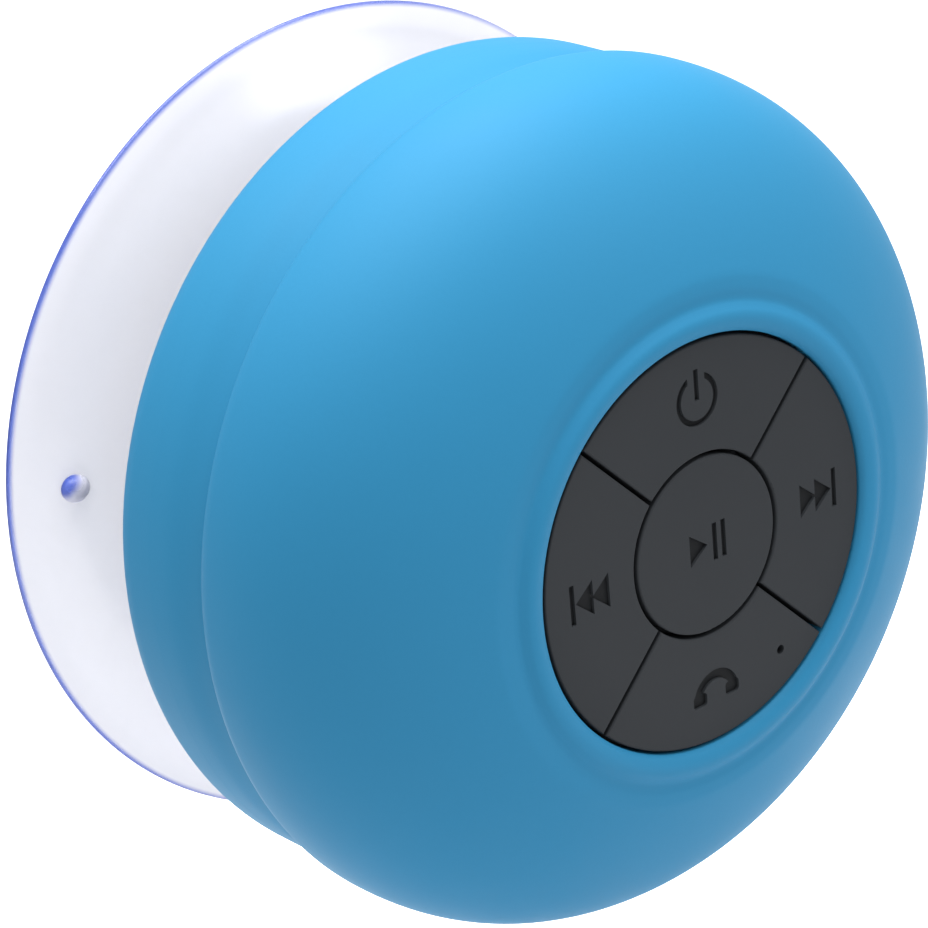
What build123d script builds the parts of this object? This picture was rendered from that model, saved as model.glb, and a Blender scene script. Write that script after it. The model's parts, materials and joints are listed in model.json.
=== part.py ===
"""Waterproof puck speaker on a suction cup.

The axis of the speaker is Y. The keypad faces -Y, +Z is up, and the origin is the centre of the
circle where the cup meets the wall. Depths are measured back from the face of the keys.
"""

import os
from math import acos, asin, cos, radians, sin

from build123d import *

# Overall sizes
FRONT = 52.0  # from the wall to the face of the keys
EQUATOR_RADIUS = 42.1  # widest ring of the dome
EQUATOR_DEPTH = 19.7
DOME_HEIGHT = 22.9  # of the full dome curve, in front of the equator
DOME_POWER = 2.3  # 2 would be an ellipse, and more is squarer
SKIN = 1.5  # silicone thickness
WALL = 2.05  # hard shell thickness
BOND = 0.05  # gap between bonded layers

# Keypad
KEYPAD_RADIUS = 19.75
KEY_THICKNESS = 2.0
KEY_GAP = 0.4
CENTRE_KEY_RADIUS = 8.6
KEY_EDGE = 0.2
SYMBOL_RADIUS = 14.4
SYMBOL_DEPTH = 0.3
STROKE = 0.55  # width of the bars in the symbols
POINTER_WIDTH = 2.1  # of the triangles in the skip symbols
POINTER_HEIGHT = 3.4
POINTER_STEP = 1.95  # so that the second triangle overlaps the tip of the first
SWITCH_RADIUS = 13.8  # of the four outer switches
MIC_X = 8.5
MIC_Z = -13.9
MIC_HOLE_RADIUS = 0.45
WEB_FRONT = 2.55
WEB_BACK = 3.4
WEB_RADIUS = 23.6
BEAD_INNER = 20.05
BEAD_CREST = 21.5
BEAD_HEIGHT = 0.7
BEAD_OUTER = 23.05
BEAD_FOOT = 0.05  # depth of its outer edge
DOME_START = 26.0  # radius where the full dome curve begins, outside a flatter ring

# Front housing
DECK_FRONT = 3.45
DECK_BACK = 5.05
DECK_HOLE = 1.6
JOINT_FRONT = 21.6  # rear rim of the front housing
JOINT_BACK = 21.8  # front rim of the rear housing
FLANGE_INNER = 34.2
FLANGE_THICKNESS = 2.0
RIM_RADIUS = 39.7

# Rear section
SKIN_EDGE_RADIUS = 41.0  # where the front skin ends, behind its equator
WAIST_RADIUS = 39.9
WAIST_DEPTH = 22.0
BULGE_RADIUS = 41.2
BULGE_DEPTH = 29.7
CORNER_RADIUS = 3.6
BACK = 36.0  # outer face of the back plate
CORNER_DEPTH = BACK - CORNER_RADIUS
CORNER_CENTRE = BULGE_RADIUS - CORNER_RADIUS
REAR_WALL = 2.2
BACK_PLATE_RADIUS = 34.95
SOCKET_RADIUS = 9.0
SOCKET_FLOOR = 31.0
SOCKET_WALL = 2.5
SOCKET_FLOOR_THICKNESS = 1.1
SEAT_INNER = 19.4
SEAT_OUTER = 23.4
SEAT_FRONT = 29.4
SLOT_COUNT = 16
SLOT_CIRCLE = 15.4

# Screws, four of each kind, on circles
HOUSING_SCREW_CIRCLE = 31.5
HOUSING_BOSS_RADIUS = 3.2
HOUSING_HEAD_DEPTH = 31.0
BOARD_SCREW_CIRCLE = 23.0
DRIVER_SCREW_CIRCLE = 21.4

# Electronics
BOARD_FRONT = 8.0
BOARD_BACK = 9.2
BOARD_RADIUS = 25.5
SWITCH_SIDE = 4.5
SWITCH_FRONT = 6.3
PLUNGER_TOP = 5.6
PLUNGER_RADIUS = 1.0
BATTERY_WIDTH = 25.0
BATTERY_LENGTH = 35.0
BATTERY_FRONT = 10.2
BATTERY_BACK = 15.2
LEAD_RADIUS = 0.5

# Driver
YOKE_FRONT = 16.0
MAGNET_FRONT = 18.0
TOP_PLATE_FRONT = 22.0
BASKET_FLOOR = 23.6
FLANGE_FRONT = 27.6
FLANGE_BACK = 28.6

# Charge port, below the driver
PORT_Z = -29.5
SOCKET_MOUTH = 33.7
HINGE_Z = -32.9
HINGE_RADIUS = 0.75  # round barrel along the lower edge of the flap
HINGE_PIN_RADIUS = 0.4
HINGE_PIN_REACH = 6.8  # each way from the middle
FLAP_TOP = -25.9
FLAP_WIDTH = 11.4
FLAP_THICKNESS = 2 * HINGE_RADIUS
POCKET_DEPTH = 1.7

# Suction cup
CUP_RADIUS = 41.6
CUP_MIDDLE = 44.4  # depth of its wall side on the axis
RIM_THICKNESS = 0.4
LIP_INNER = 39.2
PLUG_RADIUS = 6.0
NECK_RADIUS = 7.6
GROMMET_INNER = 6.05
GROMMET_OUTER = 8.95
NUB_RADIUS = 1.5
NUB_CIRCLE = 35.5
NUB_ANGLE = 172.5
NUB_DEPTH = 48.3


def layer(depth):
    """Plane facing the front, that far behind the face of the keys."""
    return Plane.XZ.offset(FRONT - depth)


def on_section(points):
    """Points given as radius and depth, as points of the XY plane that is revolved about Y."""
    return [(radius, depth - FRONT) for radius, depth in points]


def turned(points):
    """Solid of revolution with a straight-sided section."""
    with BuildSketch(Plane.XY) as section:
        with BuildLine():
            Polyline(*on_section(points), close=True)
        make_face()
    revolve(section.sketch, axis=Axis.Y)


def disc(radius, front, back, mode=Mode.ADD):
    """Round plate on the main axis."""
    with BuildSketch(layer(front)) as outline:
        Circle(radius)
    extrude(outline.sketch, amount=front - back, mode=mode)


def ring(inner, outer, front, back, mode=Mode.ADD):
    """Flat ring on the main axis."""
    with BuildSketch(layer(front)) as outline:
        Circle(outer)
        Circle(inner, mode=Mode.SUBTRACT)
    extrude(outline.sketch, amount=front - back, mode=mode)


def rods(places, radius, front, back, mode=Mode.ADD):
    """Round rods or holes along Y at the given X, Z places."""
    with BuildSketch(layer(front)) as outline:
        with Locations(*places):
            Circle(radius)
    extrude(outline.sketch, amount=front - back, mode=mode)


def bar(width, height, place, front, back, corner=0.0, mode=Mode.ADD):
    """Rectangular block along Y, centred on an X, Z place."""
    with BuildSketch(layer(front)) as outline:
        with Locations(place):
            if corner:
                RectangleRounded(width, height, corner)
            else:
                Rectangle(width, height)
    extrude(outline.sketch, amount=front - back, mode=mode)


def hinge_rod(radius, length, mode=Mode.ADD):
    """Round rod along X on the flap's hinge line."""
    with BuildSketch(Plane.YZ.offset(-length / 2)) as outline:
        with Locations((BACK - HINGE_RADIUS - FRONT, HINGE_Z)):
            Circle(radius)
    extrude(outline.sketch, amount=length, mode=mode)


def on_diagonals(radius):
    """X, Z places on the four diagonals."""
    reach = radius / 2**0.5
    return [(reach, reach), (-reach, reach), (-reach, -reach), (reach, -reach)]


def dome_points(start_radius, inset=0.0, steps=8):
    """Points of the dome curve from a radius out to the equator, evenly spaced by angle."""
    power = 2 / DOME_POWER
    full = EQUATOR_RADIUS - inset
    height = DOME_HEIGHT - inset
    start = acos((start_radius / full) ** (1 / power))
    angles = [start * (1 - step / steps) for step in range(steps + 1)]
    return [(full * cos(angle) ** power, EQUATOR_DEPTH - height * sin(angle) ** power) for angle in angles]


def side_points(start_depth, inset=0.0):
    """Points of the rear section's side, moved in by the inset, from near the waist to the bulge."""
    side = [(WAIST_RADIUS, start_depth), (40.35, 24.6), (40.95, 27.2), (BULGE_RADIUS, BULGE_DEPTH)]
    return [(radius - inset, depth) for radius, depth in side]


def cap_points(rim_radius, rim_depth, tip_depth):
    """Three points of a round cap, from its rim to its tip on the axis."""
    height = tip_depth - rim_depth
    sphere = (rim_radius**2 + height**2) / (2 * height)
    half = asin(rim_radius / sphere) / 2
    middle = (sphere * sin(half), tip_depth - sphere * (1 - cos(half)))
    return [(rim_radius, rim_depth), middle, (0, tip_depth)]


def finish(piece, name):
    """Label a piece and write it."""
    piece.part.label = name
    export_step(piece.part, f"parts/{name}.step")


os.makedirs("parts", exist_ok=True)

switch_places = {
    "play_pause": (0.0, 0.0),
    "power": (0.0, SWITCH_RADIUS),
    "next": (SWITCH_RADIUS, 0.0),
    "previous": (-SWITCH_RADIUS, 0.0),
    "call": (0.0, -SWITCH_RADIUS),
}
all_switches = list(switch_places.values())

# --- Suction cup: clear cup, neck, shoulder and plug in one moulding ---
with BuildPart() as suction_cup:
    with BuildSketch(Plane.XY):
        with BuildLine():
            plug = [(0, CUP_MIDDLE), (0, 31.4), (5.4, 31.4), (PLUG_RADIUS, 32.0), (PLUG_RADIUS, 36.6)]
            shoulder = [(9.0, 36.6), (9.4, 37.0), (9.4, 38.6), (NECK_RADIUS, 39.4)]
            outside = [(NECK_RADIUS, 40.4), (10.5, 42.2), (20.0, 44.2), (31.0, 47.1), (38.6, 50.3)]
            rim = [(CUP_RADIUS, FRONT - RIM_THICKNESS), (CUP_RADIUS, FRONT), (LIP_INNER, FRONT)]
            inside = [(LIP_INNER, FRONT), (31.0, 48.9), (20.0, 46.3), (10.0, 44.8), (0, CUP_MIDDLE)]
            Polyline(*on_section(plug + shoulder + outside[:1]))
            Spline(*on_section(outside + rim[:1]))
            Polyline(*on_section(rim))
            Spline(*on_section(inside))
        make_face()
    revolve(axis=Axis.Y)
    with Locations(
        (
            NUB_CIRCLE * cos(radians(NUB_ANGLE)),
            NUB_DEPTH - FRONT,
            NUB_CIRCLE * sin(radians(NUB_ANGLE)),
        )
    ):
        Sphere(NUB_RADIUS)
finish(suction_cup, "suction_cup")

# --- Grommet: turns in the rear socket and grips the cup's plug ---
with BuildPart() as socket_grommet:
    ring(GROMMET_INNER, GROMMET_OUTER, SOCKET_FLOOR + 0.05, BACK)
    chamfer(socket_grommet.edges().filter_by(GeomType.CIRCLE).group_by(Axis.Y)[-1], 0.4)
finish(socket_grommet, "socket_grommet")

# --- Front skin: dome, bead round the keypad, and the edge that overhangs the waist ---
with BuildPart() as front_skin:
    with BuildSketch(Plane.XY):
        with BuildLine():
            outer_foot = (BEAD_OUTER, BEAD_FOOT)
            outer = [outer_foot, (24.0, 0.05), (25.0, 0.15)] + dome_points(DOME_START)
            inner = dome_points(DOME_START, SKIN)
            base_depth = WEB_FRONT - BOND
            inner_foot = (BEAD_INNER, 0.35)
            edge = (SKIN_EDGE_RADIUS, JOINT_FRONT)
            Polyline(*on_section([inner[0], (25.0, base_depth), (BEAD_INNER, base_depth), inner_foot]))
            ThreePointArc(*on_section([inner_foot, (BEAD_CREST, -BEAD_HEIGHT), outer_foot]))
            Spline(*on_section(outer))
            ThreePointArc(*on_section([outer[-1], (41.78, 20.9), edge]))
            Polyline(*on_section([edge, (RIM_RADIUS + BOND, JOINT_FRONT), inner[-1]]))
            Spline(*on_section(inner[::-1]))
        make_face()
    revolve(axis=Axis.Y)
finish(front_skin, "front_skin")

# --- Rear skin: sleeve from the waist round the rear corner to the back plate ---
with BuildPart() as rear_skin:
    with BuildSketch(Plane.XY):
        with BuildLine():
            outside = side_points(WAIST_DEPTH)
            inside = side_points(WAIST_DEPTH, SKIN)
            outer_corner = (BULGE_RADIUS, CORNER_DEPTH)
            inner_corner = (BULGE_RADIUS - SKIN, CORNER_DEPTH)
            lip = BACK_PLATE_RADIUS + BOND
            lip_back = [(CORNER_CENTRE, BACK), (lip, BACK), (lip, BACK - SKIN), (CORNER_CENTRE, BACK - SKIN)]
            Spline(*on_section(outside))
            Line(*on_section([outside[-1], outer_corner]))
            JernArc(on_section([outer_corner])[0], (0, 1), CORNER_RADIUS, 90)
            Polyline(*on_section(lip_back))
            JernArc(on_section(lip_back)[-1], (1, 0), CORNER_RADIUS - SKIN, -90)
            Line(*on_section([inner_corner, inside[-1]]))
            Spline(*on_section(inside[::-1]))
            Line(*on_section([inside[0], outside[0]]))
        make_face()
    revolve(axis=Axis.Y)
finish(rear_skin, "rear_skin")

# --- Front housing: hard dome, deck for the keypad, posts and bosses ---
board_screw_places = on_diagonals(BOARD_SCREW_CIRCLE)
housing_screw_places = on_diagonals(HOUSING_SCREW_CIRCLE)
with BuildPart() as front_housing:
    with BuildSketch(Plane.XY):
        with BuildLine():
            outer = dome_points(DOME_START, SKIN + BOND)
            inner = dome_points(27.0, SKIN + BOND + WALL)
            deck_edge = WEB_RADIUS + 0.1
            deck = [(0, DECK_FRONT), (deck_edge, DECK_FRONT), (deck_edge, WEB_FRONT), (25.0, WEB_FRONT)]
            rim = [(RIM_RADIUS, JOINT_FRONT), (FLANGE_INNER, JOINT_FRONT), (FLANGE_INNER, EQUATOR_DEPTH)]
            Polyline(*on_section(deck + outer[:1]))
            Spline(*on_section(outer))
            Polyline(*on_section(outer[-1:] + rim + inner[-1:]))
            Spline(*on_section(inner[::-1]))
            Polyline(*on_section([inner[0], (26.0, DECK_BACK), (0, DECK_BACK), (0, DECK_FRONT)]))
        make_face()
    revolve(axis=Axis.Y)
    rods(board_screw_places, 2.4, DECK_BACK - 0.5, BOARD_FRONT)
    rods(housing_screw_places, HOUSING_BOSS_RADIUS, 9.0, JOINT_FRONT)
    rods(board_screw_places, 0.8, 3.95, BOARD_FRONT, Mode.SUBTRACT)
    rods(housing_screw_places, 1.05, 11.0, JOINT_FRONT, Mode.SUBTRACT)
    rods(all_switches, DECK_HOLE, DECK_FRONT, DECK_BACK, Mode.SUBTRACT)
    rods([(MIC_X, MIC_Z)], 0.8, DECK_FRONT, DECK_BACK, Mode.SUBTRACT)
finish(front_housing, "front_housing")

# --- Rear housing: sleeve wall, back plate, sound slots, cup socket, driver seat and port ---
driver_screw_places = on_diagonals(DRIVER_SCREW_CIRCLE)
with BuildPart() as rear_housing:
    with BuildSketch(Plane.XY):
        with BuildLine():
            inset = SKIN + BOND
            inside_wall = BULGE_RADIUS - inset - REAR_WALL
            outside = side_points(JOINT_BACK, inset)
            outer_corner = (BULGE_RADIUS - inset, CORNER_DEPTH)
            Spline(*on_section(outside))
            Line(*on_section([outside[-1], outer_corner]))
            JernArc(on_section([outer_corner])[0], (0, 1), CORNER_RADIUS - inset, 90)
            Polyline(
                *on_section(
                    [
                        (CORNER_CENTRE, BACK - inset),
                        (BACK_PLATE_RADIUS, BACK - inset),
                        (BACK_PLATE_RADIUS, BACK),
                        (0, BACK),
                        (0, BACK - REAR_WALL),
                        (33.2, BACK - REAR_WALL),
                        (33.2, BACK - inset - REAR_WALL),
                        (36.0, BACK - inset - REAR_WALL),
                        (inside_wall, CORNER_DEPTH - 1.2),
                        (inside_wall, BULGE_DEPTH),
                        (outside[0][0] - REAR_WALL, JOINT_BACK + FLANGE_THICKNESS),
                        (FLANGE_INNER, JOINT_BACK + FLANGE_THICKNESS),
                        (FLANGE_INNER, JOINT_BACK),
                        outside[0],
                    ]
                )
            )
        make_face()
    revolve(axis=Axis.Y)
    inner_face = BACK - REAR_WALL
    disc(SOCKET_RADIUS + SOCKET_WALL, SOCKET_FLOOR - SOCKET_FLOOR_THICKNESS, inner_face)
    ring(SEAT_INNER, SEAT_OUTER, SEAT_FRONT, inner_face)
    rods(housing_screw_places, HOUSING_BOSS_RADIUS, JOINT_BACK, inner_face)
    for side in (-1, 1):
        bar(1.6, 4.4, (side * 6.85, PORT_Z + 1.3), 26.0, inner_face)
    disc(SOCKET_RADIUS, SOCKET_FLOOR, BACK, Mode.SUBTRACT)
    ring(35.6, 36.8, JOINT_BACK, JOINT_BACK + 0.8, Mode.SUBTRACT)
    rods(housing_screw_places, 1.3, JOINT_BACK, BACK, Mode.SUBTRACT)
    rods(housing_screw_places, 2.5, HOUSING_HEAD_DEPTH, BACK, Mode.SUBTRACT)
    rods(driver_screw_places, 0.8, SEAT_FRONT, SEAT_FRONT + 3.8, Mode.SUBTRACT)
    with BuildSketch(layer(inner_face)) as slots:
        with PolarLocations(SLOT_CIRCLE, SLOT_COUNT):
            SlotOverall(5.6, 1.8)
    extrude(slots.sketch, amount=-REAR_WALL, mode=Mode.SUBTRACT)
    pocket_bottom = HINGE_Z - HINGE_RADIUS - 0.15
    pocket_top = FLAP_TOP + 0.25
    pocket_width = FLAP_WIDTH + 0.5
    pocket_floor = BACK - POCKET_DEPTH
    pocket_middle = (0, (pocket_bottom + pocket_top) / 2)
    bar(pocket_width, pocket_top - pocket_bottom, pocket_middle, pocket_floor, BACK, 1.2, Mode.SUBTRACT)
    bar(pocket_width, 3.0, (0, pocket_bottom + 1.5), pocket_floor, BACK, 0.3, Mode.SUBTRACT)
    bar(5.0, 2.4, (0, FLAP_TOP + 0.3), BACK - 0.9, BACK, 1.15, Mode.SUBTRACT)
    bar(10.0, 4.5, (0, PORT_Z + 0.25), inner_face, BACK, 1.0, Mode.SUBTRACT)
    hinge_rod(HINGE_PIN_RADIUS + 0.05, 2 * HINGE_PIN_REACH + 0.2, Mode.SUBTRACT)
    bar(13.9, 1.1, (0, PORT_Z + 2.0), 26.0, inner_face - 0.6, mode=Mode.SUBTRACT)
finish(rear_housing, "rear_housing")

# --- Seal ring between the housings ---
with BuildPart() as housing_seal:
    ring(35.65, 36.75, JOINT_FRONT, JOINT_BACK + 0.8)
finish(housing_seal, "housing_seal")


def machine_screws(places, head_radius, head_front, head_back, shank_radius, tip, slot_back):
    """Round-headed screws along Y with a cross recess on the head's far side from the shank."""
    rods(places, head_radius, min(head_front, head_back), max(head_front, head_back))
    rods(places, shank_radius, min(head_front, tip), max(head_front, tip))
    with BuildSketch(layer(head_back)) as recess:
        with Locations(*places):
            Rectangle(head_radius * 1.2, 0.4)
            Rectangle(0.4, head_radius * 1.2)
    extrude(recess.sketch, amount=slot_back, mode=Mode.SUBTRACT)


with BuildPart() as housing_screws:
    machine_screws(housing_screw_places, 2.2, HOUSING_HEAD_DEPTH, 32.8, 1.0, 12.0, 0.7)
finish(housing_screws, "housing_screws")

with BuildPart() as board_screws:
    machine_screws(board_screw_places, 1.7, BOARD_BACK, 10.3, 0.75, 4.6, 0.5)
finish(board_screws, "board_screws")

with BuildPart() as driver_screws:
    machine_screws(driver_screw_places, 1.5, FLANGE_FRONT, 26.6, 0.75, 32.6, -0.5)
finish(driver_screws, "driver_screws")

# --- Keypad web: the sheet that carries the keys ---
with BuildPart() as keypad_web:
    disc(WEB_RADIUS, WEB_FRONT, WEB_BACK)
    rods(all_switches, DECK_HOLE, WEB_FRONT, WEB_BACK, Mode.SUBTRACT)
    rods([(MIC_X, MIC_Z)], 0.8, WEB_FRONT, WEB_BACK, Mode.SUBTRACT)
finish(keypad_web, "keypad_web")


# --- Keys: four sectors and a round one, with sunk symbols and a post down to each switch ---
def upright(x, z, width, height):
    """Upright bar centred on x, z."""
    with Locations((x, z)):
        Rectangle(width, height)


def triangle(x, width, height):
    """Triangle with its upright side at x, pointing along X."""
    Polygon((x, height / 2), (x + width, 0), (x, -height / 2), align=None)


def skip_symbol(direction):
    """Two triangles and a bar, pointing towards +X or -X."""
    start = SYMBOL_RADIUS - POINTER_WIDTH - 0.2
    triangle(direction * start, direction * POINTER_WIDTH, POINTER_HEIGHT)
    triangle(direction * (start + POINTER_STEP), direction * POINTER_WIDTH, POINTER_HEIGHT)
    bar_place = start + POINTER_STEP + POINTER_WIDTH + 0.4
    upright(direction * bar_place, 0, STROKE, POINTER_HEIGHT + 0.5)


def next_symbol():
    skip_symbol(1)


def previous_symbol():
    skip_symbol(-1)


def power_symbol():
    """Open ring with a stem in its gap."""
    with Locations((0, SYMBOL_RADIUS)):
        Circle(2.55)
        Circle(2.55 - STROKE, mode=Mode.SUBTRACT)
    with Locations((0, SYMBOL_RADIUS + 2.4)):
        Rectangle(2.1, 2.6, mode=Mode.SUBTRACT)
    upright(0, SYMBOL_RADIUS + 1.4, STROKE, 3.0)


def call_symbol():
    """Handset: an arched bar with an earpiece at each end."""
    with Locations((0, -SYMBOL_RADIUS - 1.2)):
        Circle(2.9)
        Circle(1.9, mode=Mode.SUBTRACT)
    with Locations((0, -SYMBOL_RADIUS - 3.2)):
        Rectangle(7.0, 4.4, mode=Mode.SUBTRACT)
    with Locations((-2.05, -SYMBOL_RADIUS - 0.8), (2.05, -SYMBOL_RADIUS - 0.8)):
        RectangleRounded(1.7, 1.3, 0.35)


def play_pause_symbol():
    """Triangle and two bars."""
    triangle(-2.1, 2.2, 3.2)
    upright(1.05, 0, STROKE, 3.7)
    upright(2.15, 0, STROKE, 3.7)


symbols = {
    "play_pause": play_pause_symbol,
    "power": power_symbol,
    "next": next_symbol,
    "previous": previous_symbol,
    "call": call_symbol,
}
middle_angles = {"power": 90, "next": 0, "previous": 180, "call": 270}
apex = KEY_GAP / 2**0.5
reach = 2 * KEYPAD_RADIUS
for name, place in switch_places.items():
    with BuildPart() as key:
        with BuildSketch(layer(0)) as outline:
            if name in middle_angles:
                Circle(KEYPAD_RADIUS)
                Circle(CENTRE_KEY_RADIUS + KEY_GAP, mode=Mode.SUBTRACT)
                Polygon(
                    (apex, 0),
                    (apex + reach, -reach),
                    (apex + reach, reach),
                    rotation=middle_angles[name],
                    align=None,
                    mode=Mode.INTERSECT,
                )
            else:
                Circle(CENTRE_KEY_RADIUS)
        extrude(amount=-KEY_THICKNESS)
        fillet(key.edges().group_by(Axis.Y)[0], KEY_EDGE)
        with BuildSketch(layer(0)) as mark:
            symbols[name]()
        extrude(amount=-SYMBOL_DEPTH, mode=Mode.SUBTRACT)
        rods([place], 1.3, KEY_THICKNESS, PLUNGER_TOP)
        if name == "call":
            rods([(MIC_X, MIC_Z)], MIC_HOLE_RADIUS, 0, KEY_THICKNESS, Mode.SUBTRACT)
    finish(key, f"{name}_key")
    with BuildPart() as plunger:
        rods([place], PLUNGER_RADIUS, PLUNGER_TOP, 7.1)
    finish(plunger, f"{name}_plunger")

# --- Tactile switches ---
with BuildPart() as switch_bases:
    with BuildSketch(layer(SWITCH_FRONT)) as outline:
        with Locations(*all_switches):
            RectangleRounded(SWITCH_SIDE, SWITCH_SIDE, 0.4)
    extrude(amount=SWITCH_FRONT - BOARD_FRONT)
    rods(all_switches, 1.1, SWITCH_FRONT, 7.5, Mode.SUBTRACT)
finish(switch_bases, "switch_bases")

# --- Main board and what is soldered to it ---
with BuildPart() as main_board:
    disc(BOARD_RADIUS, BOARD_FRONT, BOARD_BACK)
    rods(board_screw_places, 1.1, BOARD_FRONT, BOARD_BACK, Mode.SUBTRACT)
finish(main_board, "main_board")

with BuildPart() as bluetooth_module:
    bar(7.5, 13.0, (17.6, 0), BOARD_BACK, BOARD_BACK + 0.8)
    bar(6.3, 9.0, (17.6, -1.5), BOARD_BACK + 0.8, BOARD_BACK + 2.2)
finish(bluetooth_module, "bluetooth_module")

with BuildPart() as amplifier_chip:
    bar(5.0, 6.0, (-17.0, 4.5), BOARD_BACK, BOARD_BACK + 1.4)
finish(amplifier_chip, "amplifier_chip")

with BuildPart() as charger_chip:
    bar(3.0, 3.0, (-17.0, -4.5), BOARD_BACK, BOARD_BACK + 1.1)
finish(charger_chip, "charger_chip")

with BuildPart() as board_capacitors:
    capacitor_places = [(-21.5, 6.5), (-21.5, 2.5), (-21.0, -3.0), (-21.0, -7.0), (-17.0, -9.5)]
    rods(capacitor_places, 1.3, BOARD_BACK, BOARD_BACK + 2.4)
finish(board_capacitors, "board_capacitors")

with BuildPart() as microphone:
    rods([(MIC_X, MIC_Z)], 2.0, 6.3, BOARD_FRONT)
    rods([(MIC_X, MIC_Z)], 0.4, 6.3, 6.8, Mode.SUBTRACT)
finish(microphone, "microphone")

with BuildPart() as microphone_boot:
    rods([(MIC_X, MIC_Z)], 3.0, DECK_BACK, BOARD_FRONT)
    rods([(MIC_X, MIC_Z)], 2.0, 6.3, BOARD_FRONT, Mode.SUBTRACT)
    rods([(MIC_X, MIC_Z)], 0.8, DECK_BACK, 6.3, Mode.SUBTRACT)
finish(microphone_boot, "microphone_boot")

# --- Battery behind the main board ---
with BuildPart() as battery_pad:
    bar(22.0, 30.0, (0, 0), BOARD_BACK, BATTERY_FRONT)
finish(battery_pad, "battery_pad")

with BuildPart() as battery:
    bar(BATTERY_WIDTH, BATTERY_LENGTH, (0, 0), BATTERY_FRONT, BATTERY_BACK)
    fillet(battery.edges().filter_by(Axis.Z), 1.5)
finish(battery, "battery")

with BuildPart() as battery_protection_board:
    bar(20.0, 3.0, (0, BATTERY_LENGTH / 2 + 1.5), 11.6, 12.8)
finish(battery_protection_board, "battery_protection_board")

# --- Driver: faces the rear, so its sound leaves through the slots round the cup ---
with BuildPart() as driver_yoke:
    disc(12.0, YOKE_FRONT, MAGNET_FRONT)
    disc(4.75, MAGNET_FRONT, 23.8)
    chamfer(driver_yoke.edges().filter_by(GeomType.CIRCLE).group_by(Axis.Y)[0], 0.6)
finish(driver_yoke, "driver_yoke")

with BuildPart() as driver_magnet:
    ring(6.4, 12.5, MAGNET_FRONT, TOP_PLATE_FRONT)
finish(driver_magnet, "driver_magnet")

with BuildPart() as driver_top_plate:
    ring(5.8, 12.0, TOP_PLATE_FRONT, BASKET_FLOOR)
finish(driver_top_plate, "driver_top_plate")

with BuildPart() as driver_basket:
    turned(
        [
            (6.6, 23.6),
            (15.4, 23.6),
            (19.3, 27.6),
            (23.2, 27.6),
            (23.2, 28.6),
            (18.1, 28.6),
            (18.1, 27.6),
            (14.9, 24.4),
            (14.4, 24.4),
            (14.4, 25.2),
            (13.0, 25.2),
            (13.0, 24.4),
            (6.6, 24.4),
        ]
    )
    rods(driver_screw_places, 1.0, FLANGE_FRONT, FLANGE_BACK, Mode.SUBTRACT)
finish(driver_basket, "driver_basket")

with BuildPart() as driver_terminals:
    bar(2.6, 7.0, (21.4, 0), FLANGE_FRONT - 1.0, FLANGE_FRONT)
finish(driver_terminals, "driver_terminals")

with BuildPart() as driver_gasket:
    ring(SEAT_INNER, 23.2, FLANGE_BACK, SEAT_FRONT)
    rods(driver_screw_places, 1.0, FLANGE_BACK, SEAT_FRONT, Mode.SUBTRACT)
finish(driver_gasket, "driver_gasket")

with BuildPart() as voice_coil:
    ring(4.98, 5.2, 19.0, 26.0)
    ring(5.2, 5.5, 21.4, 24.2)
finish(voice_coil, "voice_coil")

with BuildPart() as speaker_cone:
    turned([(5.2, 26.0), (5.2, 25.65), (15.4, 28.05), (15.4, 28.4)])
finish(speaker_cone, "speaker_cone")

with BuildPart() as dust_cap:
    with BuildSketch(Plane.XY):
        with BuildLine():
            ThreePointArc(*on_section(cap_points(6.0, 26.4, 28.2)))
            Line(*on_section([(0, 28.2), (0, 27.9)]))
            ThreePointArc(*on_section(cap_points(5.7, 26.3, 27.9)[::-1]))
            Line(*on_section([(5.7, 26.3), (6.0, 26.4)]))
        make_face()
    revolve(axis=Axis.Y)
finish(dust_cap, "dust_cap")

with BuildPart() as spider:
    flat = [(13.9, 25.2), (12.4, 25.2)]
    waves = [(11.4, 25.0), (10.2, 25.4), (9.0, 25.0), (7.8, 25.4), (6.6, 25.0), (5.5, 25.1)]
    front_side = flat + waves
    turned(front_side + [(radius, depth + 0.25) for radius, depth in front_side[::-1]])
finish(spider, "spider")

with BuildPart() as surround:
    with BuildSketch(Plane.XY):
        with BuildLine():
            Line(*on_section([(14.6, 28.42), (15.6, 28.62)]))
            ThreePointArc(*on_section([(15.6, 28.62), (17.1, 29.9), (18.4, 28.62)]))
            Polyline(*on_section([(18.4, 28.62), (19.2, 28.62), (19.2, 28.92), (18.7, 28.92)]))
            ThreePointArc(*on_section([(18.7, 28.92), (17.1, 30.2), (15.3, 28.92)]))
            Polyline(*on_section([(15.3, 28.92), (14.6, 28.72), (14.6, 28.42)]))
        make_face()
    revolve(axis=Axis.Y)
finish(surround, "surround")

with BuildPart() as acoustic_mesh:
    ring(SOCKET_RADIUS + SOCKET_WALL + 0.1, SEAT_INNER - 0.1, BACK - REAR_WALL - 0.3, BACK - REAR_WALL)
finish(acoustic_mesh, "acoustic_mesh")

# --- Charge port: small board in its rails, metal socket, tongue and hinged flap ---
with BuildPart() as charge_board:
    bar(13.7, 1.0, (0, PORT_Z + 2.0), 24.5, BACK - REAR_WALL - 0.8)
finish(charge_board, "charge_board")

with BuildPart() as charge_socket:
    bar(7.6, 2.9, (0, PORT_Z), 28.7, SOCKET_MOUTH, 0.8)
    bar(6.9, 2.2, (0, PORT_Z), 29.2, SOCKET_MOUTH, 0.5, Mode.SUBTRACT)
finish(charge_socket, "charge_socket")

with BuildPart() as socket_tongue:
    bar(3.8, 0.7, (0, PORT_Z + 0.3), 29.2, SOCKET_MOUTH - 0.7)
finish(socket_tongue, "socket_tongue")

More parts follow.
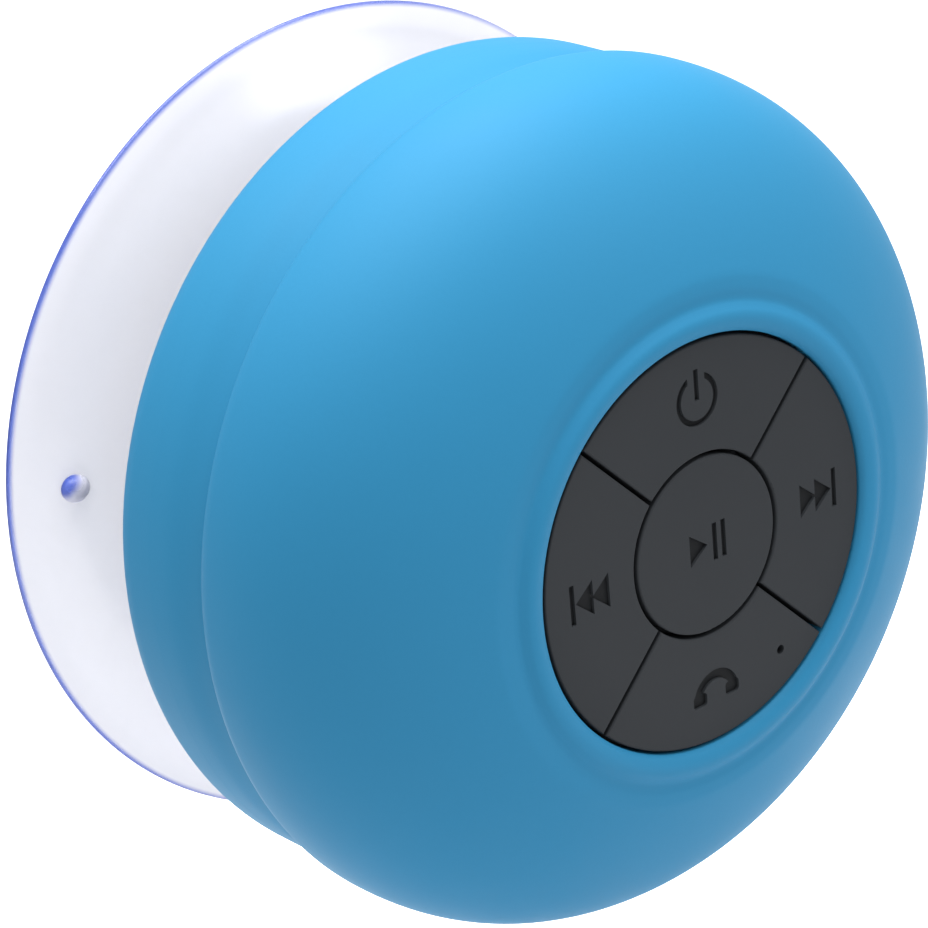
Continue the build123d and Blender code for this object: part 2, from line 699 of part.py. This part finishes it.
with BuildPart() as port_flap:
    plate_height = FLAP_TOP - HINGE_Z
    bar(FLAP_WIDTH, plate_height, (0, HINGE_Z + plate_height / 2), BACK - FLAP_THICKNESS, BACK)
    fillet(port_flap.edges().filter_by(Axis.Y).group_by(Axis.Z)[-1], 1.0)
    hinge_rod(HINGE_RADIUS, FLAP_WIDTH)
    hinge_rod(HINGE_PIN_RADIUS, 2 * HINGE_PIN_REACH)
    bar(8.6, 3.2, (0, PORT_Z), SOCKET_MOUTH + 0.05, BACK - FLAP_THICKNESS, 0.8)
finish(port_flap, "port_flap")


# --- Leads inside the case: pairs of round wires from board to board ---
def lead(points, bend):
    """One wire along points given as X, depth and Z."""
    route_points = [Vector(x, depth - FRONT, z) for x, depth, z in points]
    with BuildLine() as route:
        FilletPolyline(*route_points, radius=bend)
    with BuildSketch(Plane(origin=route_points[0], z_dir=route_points[1] - route_points[0])) as section:
        Circle(LEAD_RADIUS)
    sweep(section.sketch, path=route.line)


with BuildPart() as battery_leads:
    for x in (-3.0, 3.0):
        lead([(x, 12.2, 20.5), (x, 12.2, 23.4), (x, BOARD_BACK, 23.4)], 1.8)
finish(battery_leads, "battery_leads")

with BuildPart() as speaker_leads:
    for z in (-2.0, 2.0):
        lead([(21.8, FLANGE_FRONT - 1.0, z), (21.8, 22.0, z), (23.6, 16.0, z), (23.6, BOARD_BACK, z)], 4.0)
finish(speaker_leads, "speaker_leads")

with BuildPart() as charge_leads:
    for x in (-2.5, 2.5):
        board_end = [(x, 13.5, -23.3), (x, BOARD_BACK, -23.3)]
        lead([(x, 24.5, PORT_Z + 2.0), (x, 17.0, PORT_Z + 2.0)] + board_end, 3.0)
finish(charge_leads, "charge_leads")
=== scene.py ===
import json
import math

import bmesh
import bpy
from mathutils import Matrix, Vector


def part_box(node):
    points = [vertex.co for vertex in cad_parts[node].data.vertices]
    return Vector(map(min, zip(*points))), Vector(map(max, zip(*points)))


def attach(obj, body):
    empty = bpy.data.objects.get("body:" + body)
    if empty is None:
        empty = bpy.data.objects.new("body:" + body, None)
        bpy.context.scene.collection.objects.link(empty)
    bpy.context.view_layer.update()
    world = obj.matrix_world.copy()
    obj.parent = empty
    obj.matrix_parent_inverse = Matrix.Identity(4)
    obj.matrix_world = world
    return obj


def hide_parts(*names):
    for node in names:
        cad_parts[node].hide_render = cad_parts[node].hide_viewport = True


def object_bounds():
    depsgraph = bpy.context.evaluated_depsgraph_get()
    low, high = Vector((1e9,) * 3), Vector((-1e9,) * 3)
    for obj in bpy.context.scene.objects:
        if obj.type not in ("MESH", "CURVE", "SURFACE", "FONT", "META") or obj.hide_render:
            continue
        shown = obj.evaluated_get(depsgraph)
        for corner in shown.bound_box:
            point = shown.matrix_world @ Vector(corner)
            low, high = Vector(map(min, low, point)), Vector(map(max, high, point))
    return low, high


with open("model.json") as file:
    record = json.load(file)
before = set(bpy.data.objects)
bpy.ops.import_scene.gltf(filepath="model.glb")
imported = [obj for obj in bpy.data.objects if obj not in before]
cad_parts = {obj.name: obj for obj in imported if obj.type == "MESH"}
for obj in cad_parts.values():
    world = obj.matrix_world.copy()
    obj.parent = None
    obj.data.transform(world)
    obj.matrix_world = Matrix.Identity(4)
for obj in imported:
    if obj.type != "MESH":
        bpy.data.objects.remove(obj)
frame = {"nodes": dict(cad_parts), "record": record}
cad_low, cad_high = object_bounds()

MM = 0.001
LATHE_STEPS = 320
ON_AXIS = 1e-4  # a section point nearer the axis than this is a single vertex
SHARP_ANGLE = math.radians(40)

# Sizes in millimetres. Depths are measured back from the face of the keys, as in the CAD.
KEY_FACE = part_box("power_key")[0][1] / MM
KEYPAD_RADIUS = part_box("next_key")[1][0] / MM
EQUATOR_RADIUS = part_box("front_skin")[1][0] / MM
JOINT_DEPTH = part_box("front_skin")[1][1] / MM - KEY_FACE
BULGE_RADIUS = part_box("rear_skin")[1][0] / MM
BACK_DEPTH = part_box("rear_skin")[1][1] / MM - KEY_FACE
CUP_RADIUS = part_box("suction_cup")[1][0] / MM
WALL_DEPTH = -KEY_FACE
EQUATOR_DEPTH = 19.7
DOME_HEIGHT = 22.9
DOME_POWER = 2.3
SKIN = 1.5
WAIST_RADIUS = 39.9
CORNER_RADIUS = 3.6
BACK_PLATE_RADIUS = 35.0
SYMBOL_DEPTH = 0.3
NUB_CIRCLE = 35.9
NUB_ANGLE = 172.5  # in degrees
NUB_DEPTH = 48.3
NUB_RADIUS = 1.5
NUB_SINK = 0.3  # further into the cup than in the CAD
NUB_SHAPE = (1.0, 0.75, 0.9, 1.0)  # flattened along Y
DOME_START = 26.0  # radius where the full dome curve begins, outside a flatter ring
FLOOR_DROP = 45.0  # the speaker hangs on its wall, clear of the floor
FLOOR_HALF = 3.0  # in metres

# Long lens above and to the left of the keypad; place in metres, lens and sensor in millimetres
CAMERA_PLACE = (-0.2154, -0.2845, 0.1416)
CAMERA_BACK = (-0.5800, -0.7181, 0.3845)
CAMERA_UP = (0.3025, 0.2484, 0.9201)
CAMERA_LENS = 147.3
CAMERA_SENSOR = 36.0
KEYPAD_TURN = 0.9  # degrees that the keypad stands turned on its axis

# Softboxes: name, place and size in metres, power in watts
SOFTBOXES = (
    ("top_softbox", (0.0, 0.01, 0.33), 0.4, 4.8),
    ("front_softbox", (0.22, -0.30, 0.26), 0.2, 0.8),
)


# --- Section curves: lists of (radius, depth) ---
def curve_through(points, steps=8):
    """Smooth curve through the points, ends included."""

    def between(p, q, r, s, t):
        square = 2 * p - 5 * q + 4 * r - s
        cube = 3 * q - p - 3 * r + s
        return 0.5 * (2 * q + (r - p) * t + square * t**2 + cube * t**3)

    padded = [points[0]] + list(points) + [points[-1]]
    curve = [points[0]]
    for around in zip(padded, padded[1:], padded[2:], padded[3:]):
        for step in range(1, steps + 1):
            curve.append(tuple(between(*numbers, step / steps) for numbers in zip(*around)))
    return curve


def arc(centre, radius, start, end, steps):
    """Arc by angle in degrees; 0 points outward and 90 to the rear."""
    angles = [math.radians(start + (end - start) * step / steps) for step in range(steps + 1)]
    return [(centre[0] + radius * math.cos(a), centre[1] + radius * math.sin(a)) for a in angles]


def dome(inset=0.0, steps=72):
    """Dome curve from its start out to the equator."""
    power = 2 / DOME_POWER
    full = EQUATOR_RADIUS - inset
    height = DOME_HEIGHT - inset
    start = math.acos((DOME_START / full) ** (1 / power))
    angles = [start * (1 - step / steps) for step in range(steps + 1)]
    radii = [full * math.cos(a) ** power for a in angles]
    depths = [EQUATOR_DEPTH - height * math.sin(a) ** power for a in angles]
    return list(zip(radii, depths))


def sleeve(inset=0.0):
    """Side of the rear section, from the waist to the bulge."""
    side = [(WAIST_RADIUS, 22.0), (40.35, 24.6), (40.95, 27.2), (BULGE_RADIUS, 29.7)]
    return curve_through([(radius - inset, depth) for radius, depth in side])


# --- Mesh builders ---
def add_object(name, mesh, body, *nodes):
    """Put a mesh in the scene, on its body, in place of CAD nodes."""
    piece = bpy.data.objects.new(name, mesh)
    bpy.context.collection.objects.link(piece)
    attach(piece, body)
    if nodes:
        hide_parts(*nodes)
    return piece


def lathe(name, section):
    """Closed section turned about the Y axis."""
    steps = LATHE_STEPS
    work = bmesh.new()
    rings = []
    for radius, depth in section:
        y = (KEY_FACE + depth) * MM
        if radius < ON_AXIS:
            rings.append([work.verts.new((0, y, 0))])
            continue
        turns = [2 * math.pi * step / steps for step in range(steps)]
        reach = radius * MM
        rings.append([work.verts.new((reach * math.cos(a), y, reach * math.sin(a))) for a in turns])
    closed = section[0][0] > ON_AXIS
    pairs = list(zip(rings, rings[1:] + rings[:1])) if closed else list(zip(rings, rings[1:]))
    for first, second in pairs:
        if len(first) == 1 and len(second) == 1:
            continue
        for step in range(steps):
            after = (step + 1) % steps
            corners = [first[step % len(first)], first[after % len(first)]]
            corners += [second[after % len(second)], second[step % len(second)]]
            work.faces.new(list(dict.fromkeys(corners)))
    bmesh.ops.recalc_face_normals(work, faces=work.faces)
    mesh = bpy.data.meshes.new(name)
    work.to_mesh(mesh)
    work.free()
    mesh.shade_smooth()
    mesh.set_sharp_from_angle(angle=SHARP_ANGLE)
    return mesh


def soften(piece, width):
    """Round every edge of a CAD piece a little, and keep its large flat faces evenly shaded."""
    weld = piece.modifiers.new("weld", "WELD")
    weld.merge_threshold = 1e-6
    flatten = piece.modifiers.new("flatten", "DECIMATE")
    flatten.decimate_type = "DISSOLVE"
    flatten.angle_limit = math.radians(0.5)
    bevel = piece.modifiers.new("bevel", "BEVEL")
    bevel.width = width * MM
    bevel.segments = 3
    bevel.limit_method = "ANGLE"
    bevel.angle_limit = SHARP_ANGLE
    bevel.use_clamp_overlap = True
    piece.data.shade_smooth()
    weighted = piece.modifiers.new("weighted", "WEIGHTED_NORMAL")
    weighted.weight = 100
    weighted.keep_sharp = False


# --- Materials ---
class Surface:
    """A principled material whose colour, roughness and relief vary by noise."""

    def __init__(self, name, roughness=0.5, metallic=0.0):
        self.material = bpy.data.materials.new(name)
        self.material.use_nodes = True
        self.tree = self.material.node_tree
        self.shader = self.tree.nodes["Principled BSDF"]
        self.shader.inputs["Roughness"].default_value = roughness
        self.shader.inputs["Metallic"].default_value = metallic
        self.place = self.node("ShaderNodeTexCoord").outputs["Object"]
        self.height = None

    def node(self, kind, **inputs):
        made = self.tree.nodes.new(kind)
        for key, value in inputs.items():
            socket = made.inputs[key.replace("_", " ")]
            if isinstance(value, bpy.types.NodeSocket):
                self.tree.links.new(value, socket)
            else:
                socket.default_value = value
        return made

    def set(self, **values):
        for key, value in values.items():
            self.shader.inputs[key.replace("_", " ")].default_value = value

    def stretched(self, x, y, z):
        return self.node("ShaderNodeMapping", Vector=self.place, Scale=(x, y, z)).outputs["Vector"]

    def noise(self, scale, detail=3.0, vector=None):
        made = self.node("ShaderNodeTexNoise", Scale=scale, Detail=detail)
        self.tree.links.new(vector or self.place, made.inputs["Vector"])
        return made.outputs["Fac"]

    def waves(self, scale, direction):
        made = self.node("ShaderNodeTexWave", Scale=scale, Distortion=0.0, Vector=self.place)
        made.bands_direction = direction
        return made.outputs["Fac"]

    def math(self, operation, first, second=0.0):
        made = self.tree.nodes.new("ShaderNodeMath")
        made.operation = operation
        for socket, value in zip(made.inputs, (first, second)):
            if isinstance(value, bpy.types.NodeSocket):
                self.tree.links.new(value, socket)
            else:
                socket.default_value = value
        return made.outputs[0]

    def remap(self, value, low, high, new_low, new_high):
        made = self.node("ShaderNodeMapRange", Value=value)
        made.interpolation_type = "SMOOTHSTEP"
        for place, number in enumerate((low, high, new_low, new_high)):
            made.inputs[place + 1].default_value = number
        return made.outputs[0]

    def blend(self, share, first, second):
        made = self.tree.nodes.new("ShaderNodeMix")
        made.data_type = "RGBA"
        self.tree.links.new(share, made.inputs[0])
        for socket, value in ((made.inputs[6], first), (made.inputs[7], second)):
            if isinstance(value, bpy.types.NodeSocket):
                self.tree.links.new(value, socket)
            else:
                socket.default_value = (*value, 1)
        return made.outputs[2]

    def colour(self, source):
        self.tree.links.new(source, self.shader.inputs["Base Color"])

    def rough(self, source, low, high):
        roughness = self.remap(source, 0.3, 0.7, low, high)
        self.tree.links.new(roughness, self.shader.inputs["Roughness"])

    def relief(self, source, distance):
        bump = self.node("ShaderNodeBump", Strength=1.0, Distance=distance * MM, Height=source)
        if self.height:
            self.tree.links.new(self.height, bump.inputs["Normal"])
        self.height = bump.outputs["Normal"]
        self.tree.links.new(self.height, self.shader.inputs["Normal"])


def shade(colour, factor):
    return tuple(channel * factor for channel in colour)


def moulded(name, colour, roughness, grain=900.0, spread=0.06, relief=0.01):
    """Even material: broad and fine noise in the colour, the gloss and the relief."""
    made = Surface(name, roughness)
    broad = made.noise(45.0)
    fine = made.noise(grain, 4.0)
    base = made.blend(broad, shade(colour, 1 - spread), shade(colour, 1 + spread))
    specks = made.remap(fine, 0.3, 0.7, 0.0, 0.25)
    made.colour(made.blend(specks, base, shade(colour, 1 - 2 * spread)))
    made.rough(broad, roughness - 0.04, roughness + 0.05)
    made.relief(fine, relief)
    return made


def silicone(name, colour, roughness):
    """Soft-touch silicone: fine grain and very little shine."""
    made = moulded(name, colour, roughness, grain=2600.0, spread=0.025, relief=0.006)
    made.set(Specular_IOR_Level=0.07)
    return made


def clear_cup():
    """Clear vinyl, faintly milky, with a violet blue rim: partly the vinyl's own tint, partly
    painted light from refraction in the rim, stronger on the upper left side.
    """
    made = Surface("cup_pvc", 0.12)
    split = made.node("ShaderNodeSeparateXYZ", Vector=made.place)
    x, z = split.outputs["X"], split.outputs["Z"]
    squares = made.math("ADD", made.math("MULTIPLY", x, x), made.math("MULTIPLY", z, z))
    radius = made.math("SQRT", squares)
    # Painted light: the rim's blue is weighted towards the upper left side, where light falls and
    # refracts in the rim.
    side = made.math("ADD", made.math("MULTIPLY", x, -0.85), made.math("MULTIPLY", z, 0.5))
    painted_light_lean = made.math("DIVIDE", side, radius)
    painted_glow_side = made.remap(painted_light_lean, -0.5, 0.5, 0.2, 1.0)
    rim_start, rim_end = (CUP_RADIUS - 0.65) * MM, (CUP_RADIUS - 0.1) * MM
    rim = made.remap(radius, rim_start, rim_end, 0.0, 1.0)
    cloud = made.noise(38.0, 4.0)
    milk = made.blend(cloud, (0.52, 0.525, 0.57), (0.56, 0.565, 0.60))
    # The rim's real blue tint mixed with painted light: blue violet on the rim, strongest on the
    # upper left side.
    made.colour(made.blend(made.math("MULTIPLY", rim, painted_glow_side), milk, (0.05, 0.09, 0.42)))
    made.rough(cloud, 0.16, 0.26)
    made.relief(made.noise(70.0, 1.0), 0.01)
    made.set(Transmission_Weight=0.6, IOR=1.4)
    return made


def nub_with_painted_glint(centre, size):
    """Clear pimple with a painted blue glint on its upper outer side, standing in for the rim's
    light refracted through it.
    """
    made = Surface("cup_nub", 0.25)
    split = made.node("ShaderNodeSeparateXYZ", Vector=made.place)
    offset_x = made.math("SUBTRACT", split.outputs["X"], centre[0])
    offset_z = made.math("SUBTRACT", split.outputs["Z"], centre[2])
    # Painted highlight: blue gathered towards the upper outer side of the nub, where light falls.
    across = made.math("MULTIPLY", offset_x, -0.75 / size)
    above = made.math("MULTIPLY", offset_z, 0.66 / size)
    cloud = made.noise(420.0)
    painted_light_lean = made.math("ADD", made.math("ADD", across, above), made.math("MULTIPLY", cloud, 0.4))
    clear = made.blend(cloud, (0.62, 0.63, 0.74), (0.68, 0.68, 0.78))
    made.colour(made.blend(made.remap(painted_light_lean, 0.35, 0.95, 0.0, 0.95), clear, (0.05, 0.10, 0.50)))
    made.rough(cloud, 0.2, 0.32)
    made.set(Transmission_Weight=0.5, IOR=1.3)
    return made


def metal(name, colour, roughness, stretch=(40.0, 40.0, 900.0)):
    """Metal with fine drawn lines."""
    made = Surface(name, roughness, 1.0)
    lines = made.noise(1.0, 4.0, made.stretched(*stretch))
    dull = made.noise(120.0)
    made.colour(made.blend(dull, shade(colour, 0.82), colour))
    made.rough(lines, roughness - 0.08, roughness + 0.12)
    made.relief(lines, 0.008)
    return made


def woven(name, dark, light, scale):
    """Plain weave: two sets of threads across each other."""
    roughness = 0.85
    made = Surface(name, roughness)
    threads = made.math("MULTIPLY", made.waves(scale, "X"), made.waves(scale, "Z"))
    fuzz = made.noise(1800.0)
    cloth = made.blend(made.remap(threads, 0.05, 0.6, 0.0, 1.0), dark, light)
    made.colour(made.blend(made.remap(fuzz, 0.3, 0.7, 0.0, 0.3), cloth, dark))
    made.rough(fuzz, roughness - 0.05, roughness + 0.08)
    made.relief(threads, 0.12)
    return made


def circuit_board():
    """Solder mask over tracks, with pads."""
    made = Surface("circuit_board", 0.35)
    cells = made.node("ShaderNodeTexVoronoi", Scale=700.0, Vector=made.place)
    cells.feature = "DISTANCE_TO_EDGE"
    cells.distance = "CHEBYCHEV"
    tracks = made.remap(cells.outputs["Distance"], 0.10, 0.14, 0.0, 1.0)
    dots = made.node("ShaderNodeTexVoronoi", Scale=420.0, Vector=made.place).outputs["Distance"]
    pads = made.remap(dots, 0.12, 0.16, 1.0, 0.0)
    mask = made.blend(tracks, (0.012, 0.11, 0.045), (0.025, 0.20, 0.08))
    made.colour(made.blend(pads, mask, (0.62, 0.55, 0.32)))
    made.rough(made.noise(200.0), 0.28, 0.42)
    made.relief(tracks, 0.03)
    made.set(Coat_Weight=0.3, Coat_Roughness=0.15)
    return made


def foil_wrap():
    """Crinkled silver film round the cell."""
    made = Surface("battery_foil", 0.3, 0.85)
    creases = made.noise(170.0, 6.0)
    made.colour(made.blend(creases, (0.52, 0.53, 0.56), (0.72, 0.73, 0.75)))
    made.rough(creases, 0.22, 0.42)
    made.relief(creases, 0.12)
    return made


def wound_wire():
    """Enamelled wire in close turns."""
    made = Surface("copper", 0.3, 0.9)
    turns = made.waves(2600.0, "Y")
    made.colour(made.blend(turns, (0.28, 0.10, 0.035), (0.72, 0.33, 0.14)))
    made.rough(made.noise(500.0), 0.22, 0.38)
    made.relief(turns, 0.06)
    return made


def pressed_pulp():
    """Black paper cone with fibres."""
    made = Surface("cone_paper", 0.8)
    fibres = made.noise(1.0, 6.0, made.stretched(700.0, 300.0, 1500.0))
    made.colour(made.blend(fibres, (0.018, 0.018, 0.018), (0.055, 0.053, 0.05)))
    made.rough(fibres, 0.72, 0.9)
    made.relief(fibres, 0.06)
    return made


def open_foam(name, colour):
    """Foam with small open cells."""
    made = Surface(name, 0.9)
    cells = made.node("ShaderNodeTexVoronoi", Scale=1500.0, Vector=made.place).outputs["Distance"]
    made.colour(made.blend(cells, shade(colour, 0.4), shade(colour, 1.3)))
    made.rough(cells, 0.84, 0.96)
    made.relief(cells, 0.12)
    return made


def lead_plastic():
    """Wire insulation: red on one side of each pair and black on the other."""
    made = Surface("lead_plastic", 0.4)
    split = made.node("ShaderNodeSeparateXYZ", Vector=made.place)
    across = made.math("ADD", split.outputs["X"], split.outputs["Z"])
    grain = made.noise(900.0)
    wobble = made.math("ADD", across, made.math("MULTIPLY", grain, 1e-5))
    red = made.blend(grain, (0.42, 0.02, 0.015), (0.52, 0.035, 0.025))
    side = made.remap(wobble, -0.0001, 0.0001, 0.0, 1.0)
    made.colour(made.blend(side, (0.02, 0.02, 0.02), red))
    made.rough(grain, 0.34, 0.46)
    made.relief(grain, 0.01)
    return made


BLUE = (0.015, 0.121, 0.226)
KEYPAD_GREY = (0.017, 0.019, 0.0215)
surfaces = {
    "blue_silicone": silicone("blue_silicone", BLUE, 0.56),
    "keypad_silicone": silicone("keypad_silicone", KEYPAD_GREY, 0.62),
    "cup_pvc": clear_cup(),
    "grommet_rubber": moulded("grommet_rubber", (0.06, 0.062, 0.066), 0.62),
    "abs_shell": moulded("abs_shell", (0.075, 0.075, 0.08), 0.45),
    "back_plate": moulded("back_plate", (0.035, 0.036, 0.038), 0.52, grain=1500.0, relief=0.03),
    "seal_rubber": moulded("seal_rubber", (0.02, 0.02, 0.021), 0.6),
    "steel_screws": metal("steel_screws", (0.56, 0.56, 0.58), 0.28, (900.0, 60.0, 60.0)),
    "black_plastic": moulded("black_plastic", (0.02, 0.02, 0.021), 0.42),
    "circuit_board": circuit_board(),
    "chip_black": moulded("chip_black", (0.015, 0.015, 0.016), 0.5, grain=3000.0),
    "capacitor_metal": metal("capacitor_metal", (0.62, 0.62, 0.63), 0.26),
    "foam": open_foam("foam", (0.035, 0.035, 0.036)),
    "battery_foil": foil_wrap(),
    "steel": metal("steel", (0.5, 0.5, 0.5), 0.32),
    "ferrite": moulded(
        "ferrite", (0.045, 0.045, 0.05), 0.6, grain=2200.0, spread=0.2, relief=0.04
    ),
    "basket_steel": moulded("basket_steel", (0.022, 0.022, 0.023), 0.38),
    "copper": wound_wire(),
    "cone_paper": pressed_pulp(),
    "spider_cloth": woven("spider_cloth", (0.26, 0.15, 0.05), (0.55, 0.37, 0.15), 1500.0),
    "mesh_cloth": woven("mesh_cloth", (0.006, 0.006, 0.006), (0.05, 0.05, 0.05), 2400.0),
    "lead_plastic": lead_plastic(),
    "switch_plunger": moulded("switch_plunger", (0.62, 0.60, 0.54), 0.4),
}
symbol_surface = silicone("symbol_floor", shade(KEYPAD_GREY, 0.35), 0.7)
slot_of = {row["node"]: row["material_slot"] for row in frame["record"]["subparts"]}


def dress(piece, slot):
    """Give a new piece the surface of the record's slot."""
    piece.data.materials.append(surfaces[slot].material)


for node, cad_piece in frame["nodes"].items():
    cad_piece.data.materials.clear()
    cad_piece.data.materials.append(surfaces[slot_of[node]].material)

# --- Keys: rounded edges, and darker floors in the sunk symbols ---
KEYS = ("play_pause_key", "power_key", "next_key", "previous_key", "call_key")
for node in KEYS:
    key = frame["nodes"][node]
    key.data.materials.append(symbol_surface.material)
    for face in key.data.polygons:
        sunk = abs(face.center.y / MM - KEY_FACE - SYMBOL_DEPTH) < 0.02
        if sunk and face.normal.y < -0.99:
            face.material_index = 1
    soften(key, 0.07)

# Rounding of the edges of other CAD pieces, in millimetres
EDGE_WIDTHS = {
    "rear_housing": 0.15,
    "port_flap": 0.2,
    "socket_grommet": 0.15,
    "housing_screws": 0.12,
    "driver_screws": 0.08,
    "board_screws": 0.08,
    "charge_socket": 0.08,
    "battery": 0.3,
    "driver_basket": 0.1,
    "driver_yoke": 0.2,
    "driver_magnet": 0.2,
    "main_board": 0.06,
    "switch_bases": 0.12,
    "bluetooth_module": 0.06,
    "amplifier_chip": 0.08,
    "charger_chip": 0.08,
    "board_capacitors": 0.2,
}
for node, width in EDGE_WIDTHS.items():
    soften(frame["nodes"][node], width)

# --- Front skin: bead, flatter ring, dome and overhanging edge ---
bead_foot = KEYPAD_RADIUS + 0.3
bead_turn = [(0, 0.9), (0, 0.3), (0.1, -0.08), (0.4, -0.42), (0.9, -0.63), (1.45, -0.69)]
bead_turn += [(2.0, -0.56), (2.5, -0.22), (2.85, 0.0), (3.25, 0.07), (4.0, 0.06)]
bead_turn += [(4.95, 0.16), (5.45, 0.28)]
bead = curve_through([(bead_foot + out, depth) for out, depth in bead_turn], steps=5)
rim_turn = [(0.02, 20.1), (0.12, 20.5), (0.33, 20.95), (0.62, 21.3), (0.95, 21.52)]
rim_turn.append((1.3, JOINT_DEPTH))
rim_edge = [(EQUATOR_RADIUS - inset, depth) for inset, depth in rim_turn]
inner_dome = dome(SKIN, 24)
front_section = bead + dome() + rim_edge
front_section += [(39.75, JOINT_DEPTH)] + inner_dome[::-1] + [(25.0, 2.5), (bead_foot, 2.5)]
front_mesh = lathe("front_skin_soft", front_section)
front_skin = add_object("front_skin_soft", front_mesh, "speaker", "front_skin")
dress(front_skin, "blue_silicone")

# --- Rear skin: waist, bulge and rounded rear corner ---
corner = (BULGE_RADIUS - CORNER_RADIUS, BACK_DEPTH - CORNER_RADIUS)
lip = BACK_PLATE_RADIUS
rear_section = [(WAIST_RADIUS - 0.35, 21.98), (WAIST_RADIUS - 0.12, 22.0)] + sleeve()[1:]
rear_section += arc(corner, CORNER_RADIUS, 0, 90, 20)
rear_section += [(lip + 0.3, BACK_DEPTH), (lip + 0.1, BACK_DEPTH - 0.06), (lip, BACK_DEPTH - 0.28)]
rear_section += [(lip, BACK_DEPTH - SKIN)] + arc(corner, CORNER_RADIUS - SKIN, 90, 0, 10)
rear_section += sleeve(SKIN)[::-1]
rear_mesh = lathe("rear_skin_soft", rear_section)
rear_skin = add_object("rear_skin_soft", rear_mesh, "speaker", "rear_skin")
dress(rear_skin, "blue_silicone")

# --- Suction cup: plug, shoulder, neck and thin flared bell ---
plug = [(0, 31.4), (5.2, 31.4), (5.7, 31.55), (5.97, 31.95), (6.0, 32.3), (6.0, 36.3)]
shoulder = [(6.15, 36.52), (6.5, 36.62), (8.8, 36.62), (9.25, 36.75), (9.4, 37.1), (9.4, 38.4)]
throat = [(9.2, 38.75), (8.2, 39.1), (7.7, 39.5), (7.6, 40.1), (8.1, 41.1), (10.5, 42.2)]
neck = curve_through(shoulder, 4) + curve_through(throat, 4)
flare = [(10.5, 42.2), (20.0, 44.2), (31.0, 47.1), (38.6, 50.3), (CUP_RADIUS - 0.05, 51.55)]
bell = curve_through(flare, 14)
lip_edge = [(CUP_RADIUS, 51.68), (CUP_RADIUS, 51.85)]
lip_edge += [(CUP_RADIUS - 0.06, 51.96), (CUP_RADIUS - 0.18, WALL_DEPTH)]
wall_side = [(39.2, WALL_DEPTH), (31.0, 48.9), (20.0, 46.3), (10.0, 44.8), (0, 44.4)]
hollow = curve_through(wall_side, 10)
cup_section = plug + neck + bell[1:] + lip_edge + hollow
cup_mesh = lathe("suction_cup_soft", cup_section)
suction_cup = add_object("suction_cup_soft", cup_mesh, "cup", "suction_cup")
dress(suction_cup, "cup_pvc")

nub_work = bmesh.new()
bmesh.ops.create_uvsphere(nub_work, u_segments=48, v_segments=32, radius=NUB_RADIUS * MM)
nub_mesh = bpy.data.meshes.new("cup_nub")
nub_work.to_mesh(nub_mesh)
nub_work.free()
nub_angle = math.radians(NUB_ANGLE)
nub_y = KEY_FACE + NUB_DEPTH + NUB_SINK
nub_place = Vector((NUB_CIRCLE * math.cos(nub_angle), nub_y, NUB_CIRCLE * math.sin(nub_angle))) * MM
nub_mesh.transform(Matrix.Translation(nub_place) @ Matrix.Diagonal(NUB_SHAPE))
nub_mesh.shade_smooth()
cup_nub = add_object("cup_nub", nub_mesh, "cup")
cup_nub.data.materials.append(nub_with_painted_glint(nub_place, NUB_RADIUS * MM).material)


# --- Camera, lights and floor ---
def make_camera():
    """Camera at the place and angle given at the top."""
    camera = bpy.data.objects.new("camera", bpy.data.cameras.new("camera"))
    bpy.context.collection.objects.link(camera)
    back = Vector(CAMERA_BACK).normalized()
    right = Vector(CAMERA_UP).cross(back).normalized()
    up = back.cross(right)
    axes = Matrix((right, up, back)).transposed().to_4x4()
    keypad_turn = Matrix.Rotation(math.radians(KEYPAD_TURN), 4, "Y")
    camera.matrix_world = keypad_turn @ Matrix.Translation(Vector(CAMERA_PLACE)) @ axes
    camera.data.lens = CAMERA_LENS
    camera.data.sensor_width = CAMERA_SENSOR
    camera.data.clip_start = 0.01
    camera.data.clip_end = 20.0
    bpy.context.scene.camera = camera


def area_light(name, place, size, power):
    """Square soft light aimed at the middle of the body."""
    data = bpy.data.lights.new(name, "AREA")
    data.size = size
    data.energy = power
    lamp = bpy.data.objects.new(name, data)
    bpy.context.collection.objects.link(lamp)
    lamp.location = place
    lamp.visible_camera = False
    aim = Vector((0, KEY_FACE * MM / 2, 0))
    lamp.rotation_mode = "QUATERNION"
    lamp.rotation_quaternion = (aim - Vector(place)).to_track_quat("-Z", "Y")


def make_studio():
    """White surroundings, the softboxes and a pale floor."""
    world = bpy.data.worlds.new("studio")
    bpy.context.scene.world = world
    world.use_nodes = True
    background = world.node_tree.nodes["Background"]
    background.inputs["Color"].default_value = (1, 1, 1, 1)
    background.inputs["Strength"].default_value = 1.0
    for softbox in SOFTBOXES:
        area_light(*softbox)
    bpy.context.scene.view_settings.view_transform = "Standard"
    floor_mesh = bpy.data.meshes.new("floor")
    level = cad_low[2] - FLOOR_DROP * MM
    turns = [(-1, -1), (1, -1), (1, 1), (-1, 1)]
    corners = [(x * FLOOR_HALF, y * FLOOR_HALF, level) for x, y in turns]
    floor_mesh.from_pydata(corners, [], [(0, 1, 2, 3)])
    floor = bpy.data.objects.new("floor", floor_mesh)
    bpy.context.collection.objects.link(floor)
    floor_surface = moulded("floor", (0.88, 0.88, 0.89), 0.7, grain=40.0, spread=0.01)
    floor.data.materials.append(floor_surface.material)


make_camera()
make_studio()
